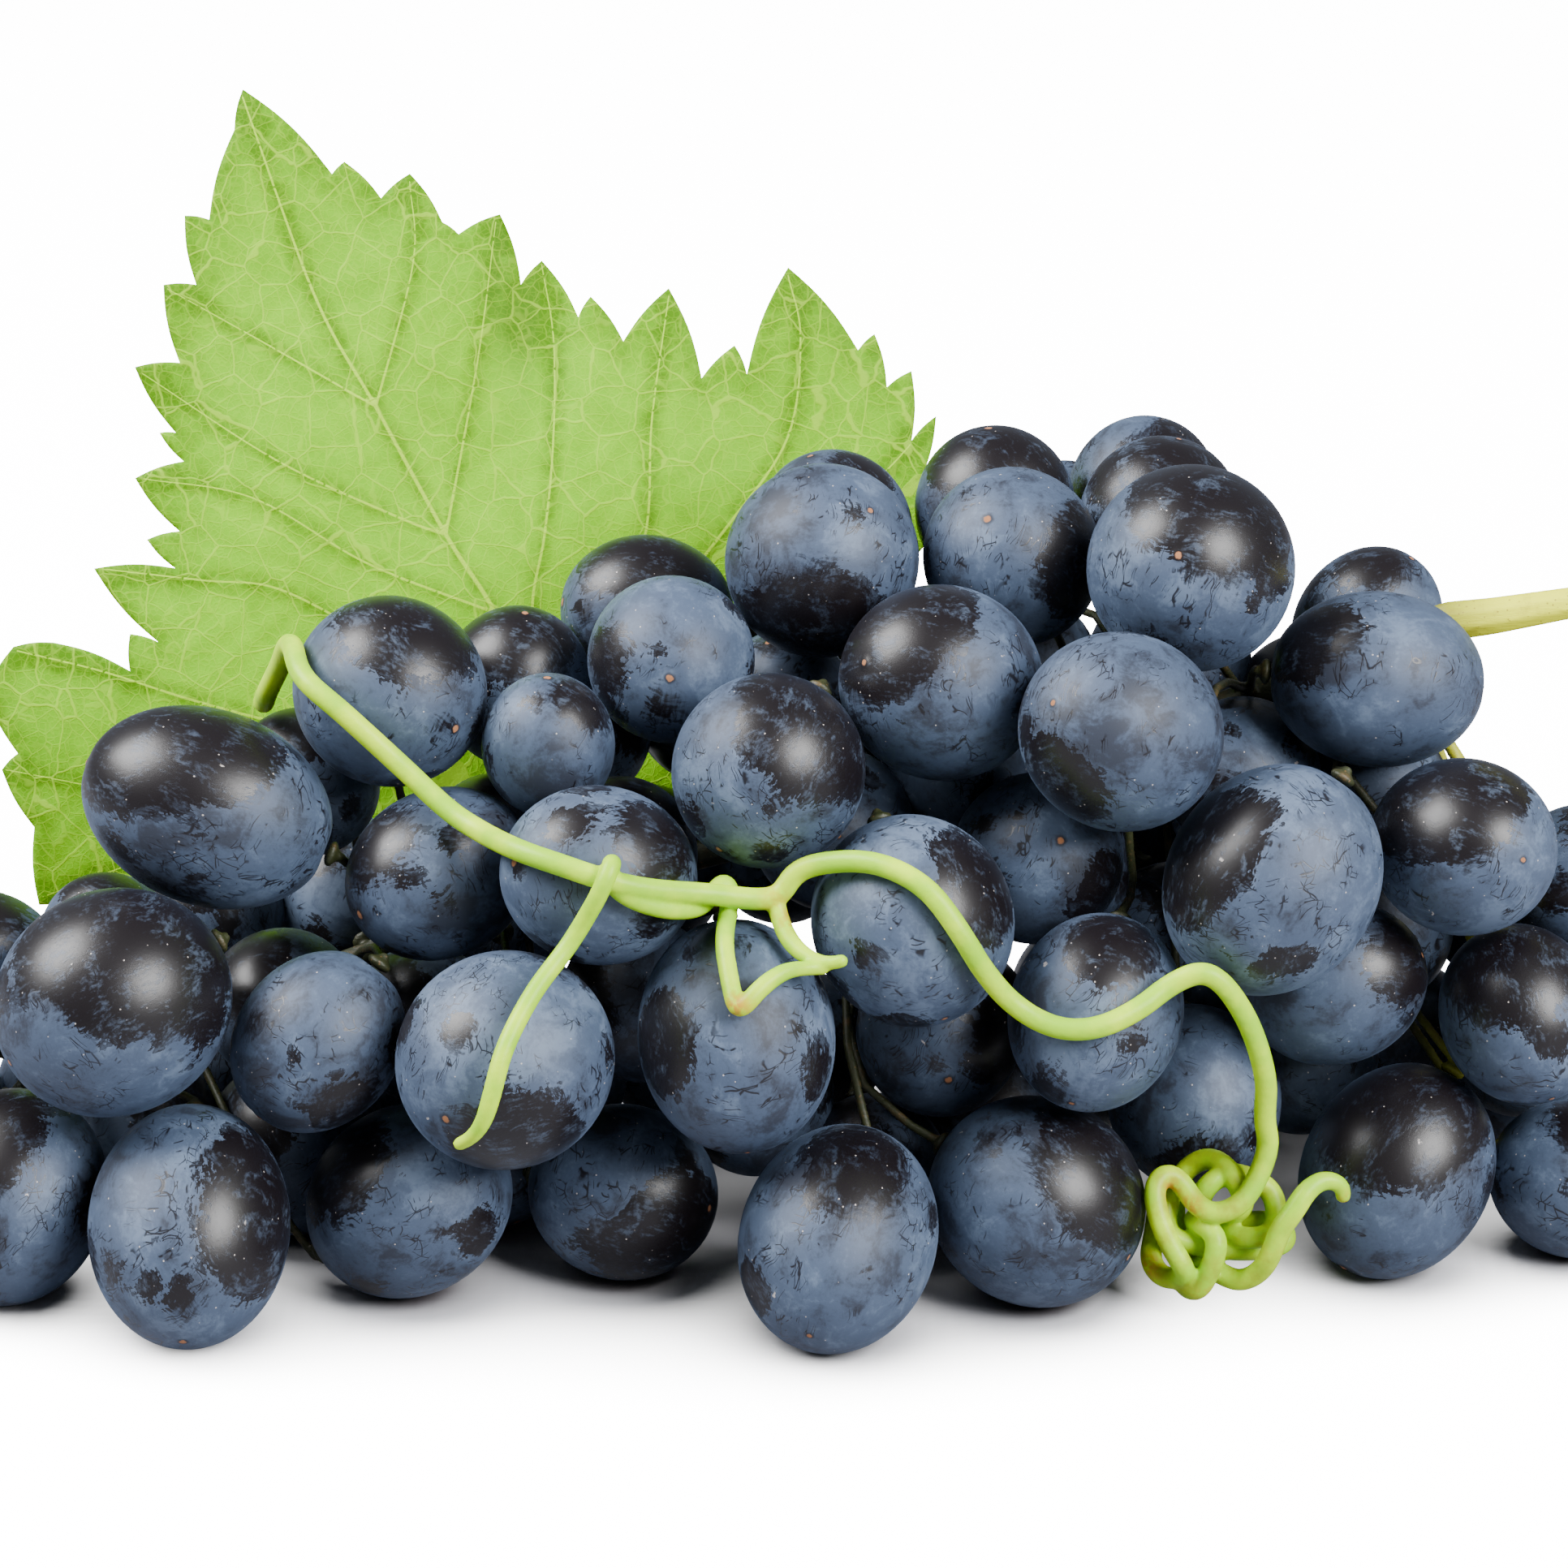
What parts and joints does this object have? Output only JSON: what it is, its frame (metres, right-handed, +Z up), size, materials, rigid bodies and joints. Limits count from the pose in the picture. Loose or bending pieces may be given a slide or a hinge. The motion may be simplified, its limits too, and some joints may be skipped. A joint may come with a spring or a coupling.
{
  "type": "bunch of grapes",
  "caption": "Bunch of dark blue-black table grapes lying on its side, with a cut stalk, a toothed vine leaf behind it and a green tendril over its front.",
  "frame": {"origin": "centre of the bunch's bounding box, at the table", "axes": "+X along the bunch to the cut stalk, -Y the front that the tendril crosses, +Z up"},
  "size_m": [0.236, 0.1262, 0.1143],
  "materials": {
    "berry_skin": "dark blue-black skin with a rubbed blue-grey bloom",
    "stalk": "matte green to woody",
    "leaf": "satin translucent green",
    "tendril": "smooth yellow-green"
  },
  "bodies": {
    "root": {"berries_back_high": "berry_skin", "berries_back_low_left": "berry_skin", "berries_back_low_right": "berry_skin", "berries_back_mid_left": "berry_skin", "berries_back_mid_right": "berry_skin", "berries_inner_left": "berry_skin", "berries_inner_middle": "berry_skin", "berries_inner_right": "berry_skin", "berry_01": "berry_skin", "berry_02": "berry_skin", "berry_03": "berry_skin", "berry_04": "berry_skin", "berry_05": "berry_skin", "berry_06": "berry_skin", "berry_07": "berry_skin", "berry_08": "berry_skin", "berry_09": "berry_skin", "berry_10": "berry_skin", "berry_11": "berry_skin", "berry_12": "berry_skin", "berry_13": "berry_skin", "berry_14": "berry_skin", "berry_15": "berry_skin", "berry_16": "berry_skin", "berry_17": "berry_skin", "berry_18": "berry_skin", "berry_19": "berry_skin", "berry_20": "berry_skin", "berry_21": "berry_skin", "berry_22": "berry_skin", "berry_23": "berry_skin", "berry_24": "berry_skin", "berry_25": "berry_skin", "berry_26": "berry_skin", "berry_27": "berry_skin", "berry_28": "berry_skin", "berry_29": "berry_skin", "berry_30": "berry_skin", "berry_31": "berry_skin", "berry_32": "berry_skin", "berry_33": "berry_skin", "berry_34": "berry_skin", "berry_35": "berry_skin", "berry_36": "berry_skin", "berry_37": "berry_skin", "berry_38": "berry_skin", "berry_39": "berry_skin", "berry_40": "berry_skin", "berry_41": "berry_skin", "berry_42": "berry_skin", "berry_43": "berry_skin", "berry_44": "berry_skin", "berry_45": "berry_skin", "berry_46": "berry_skin", "berry_47": "berry_skin", "berry_48": "berry_skin", "berry_49": "berry_skin", "leaf": "leaf", "stem": "stalk", "tendril": "tendril"}
  },
  "joints": []
}
